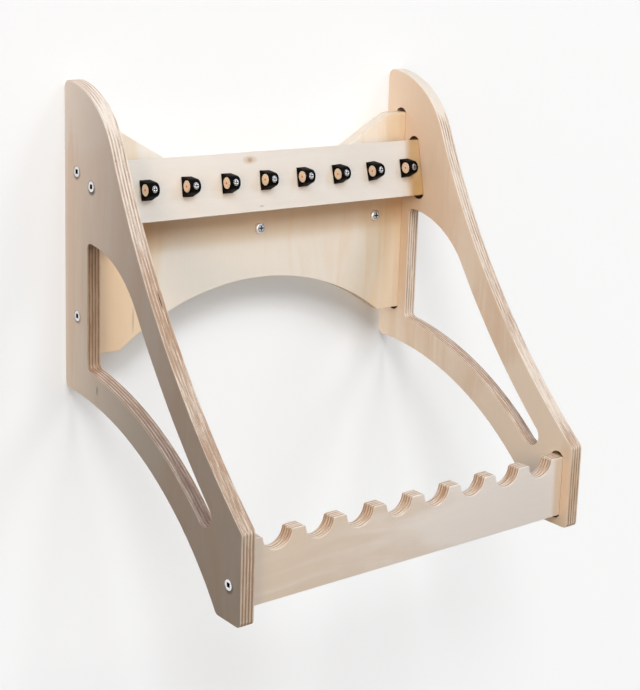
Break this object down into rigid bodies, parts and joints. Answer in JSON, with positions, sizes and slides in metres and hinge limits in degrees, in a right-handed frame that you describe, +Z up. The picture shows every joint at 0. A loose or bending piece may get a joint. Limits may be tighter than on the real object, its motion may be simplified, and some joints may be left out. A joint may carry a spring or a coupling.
{
  "type": "saw till",
  "caption": "Wall-hung plywood saw till: curved side panels joined by an arched back panel, a leaning rail of swivelling magnetic blade holders and a notched front rail.",
  "frame": {"origin": "on the wall plane at mid-width, level with the underside of the feet", "axes": "+X to the right seen from the front, +Y into the wall, +Z up"},
  "size_m": [0.3426, 0.2671, 0.3593],
  "materials": {
    "side_plywood": "bare birch plywood, lightly sanded",
    "back_plywood": "bare birch plywood, lightly sanded",
    "rail_plywood": "bare pale birch plywood, lightly sanded",
    "holder_plastic": "moulded black, satin to glossy",
    "magnet_nickel": "polished nickel plate",
    "screw_zinc": "bright zinc plate"
  },
  "bodies": {
    "till": {"left_side": "side_plywood", "right_side": "side_plywood", "back_panel": "back_plywood", "magnet_rail": "rail_plywood", "front_rail": "rail_plywood", "holder_screw_1": "screw_zinc", "holder_screw_2": "screw_zinc", "holder_screw_3": "screw_zinc", "holder_screw_4": "screw_zinc", "holder_screw_5": "screw_zinc", "holder_screw_6": "screw_zinc", "holder_screw_7": "screw_zinc", "holder_screw_8": "screw_zinc", "back_screw_upper_left": "screw_zinc", "back_screw_upper_right": "screw_zinc", "back_screw_lower_left": "screw_zinc", "back_screw_lower_right": "screw_zinc", "rail_screw_left": "screw_zinc", "rail_screw_right": "screw_zinc", "front_screw_left": "screw_zinc", "front_screw_right": "screw_zinc", "wall_screw_left": "screw_zinc", "wall_screw_middle": "screw_zinc", "wall_screw_right": "screw_zinc"},
    "holder_1": {"holder_block_1": "holder_plastic", "holder_magnet_1": "magnet_nickel"},
    "holder_2": {"holder_block_2": "holder_plastic", "holder_magnet_2": "magnet_nickel"},
    "holder_3": {"holder_block_3": "holder_plastic", "holder_magnet_3": "magnet_nickel"},
    "holder_4": {"holder_block_4": "holder_plastic", "holder_magnet_4": "magnet_nickel"},
    "holder_5": {"holder_block_5": "holder_plastic", "holder_magnet_5": "magnet_nickel"},
    "holder_6": {"holder_block_6": "holder_plastic", "holder_magnet_6": "magnet_nickel"},
    "holder_7": {"holder_block_7": "holder_plastic", "holder_magnet_7": "magnet_nickel"},
    "holder_8": {"holder_block_8": "holder_plastic", "holder_magnet_8": "magnet_nickel"}
  },
  "joints": [
    {"name": "holder_1_swivel", "type": "hinge", "parent": "till", "child": "holder_1", "pos_m": [-0.12565, -0.04721, 0.27618], "axis": [0, -0.979, 0.2036], "range_deg": [-90, 90]},
    {"name": "holder_2_swivel", "type": "hinge", "parent": "till", "child": "holder_2", "pos_m": [-0.08755, -0.04721, 0.27618], "axis": [0, -0.979, 0.2036], "range_deg": [-90, 90]},
    {"name": "holder_3_swivel", "type": "hinge", "parent": "till", "child": "holder_3", "pos_m": [-0.04945, -0.04721, 0.27618], "axis": [0, -0.979, 0.2036], "range_deg": [-90, 90]},
    {"name": "holder_4_swivel", "type": "hinge", "parent": "till", "child": "holder_4", "pos_m": [-0.01135, -0.04721, 0.27618], "axis": [0, -0.979, 0.2036], "range_deg": [-90, 90]},
    {"name": "holder_5_swivel", "type": "hinge", "parent": "till", "child": "holder_5", "pos_m": [0.02675, -0.04721, 0.27618], "axis": [0, -0.979, 0.2036], "range_deg": [-90, 90]},
    {"name": "holder_6_swivel", "type": "hinge", "parent": "till", "child": "holder_6", "pos_m": [0.06485, -0.04721, 0.27618], "axis": [0, -0.979, 0.2036], "range_deg": [-90, 90]},
    {"name": "holder_7_swivel", "type": "hinge", "parent": "till", "child": "holder_7", "pos_m": [0.10295, -0.04721, 0.27618], "axis": [0, -0.979, 0.2036], "range_deg": [-90, 90]},
    {"name": "holder_8_swivel", "type": "hinge", "parent": "till", "child": "holder_8", "pos_m": [0.14105, -0.04721, 0.27618], "axis": [0, -0.979, 0.2036], "range_deg": [-90, 90]}
  ]
}
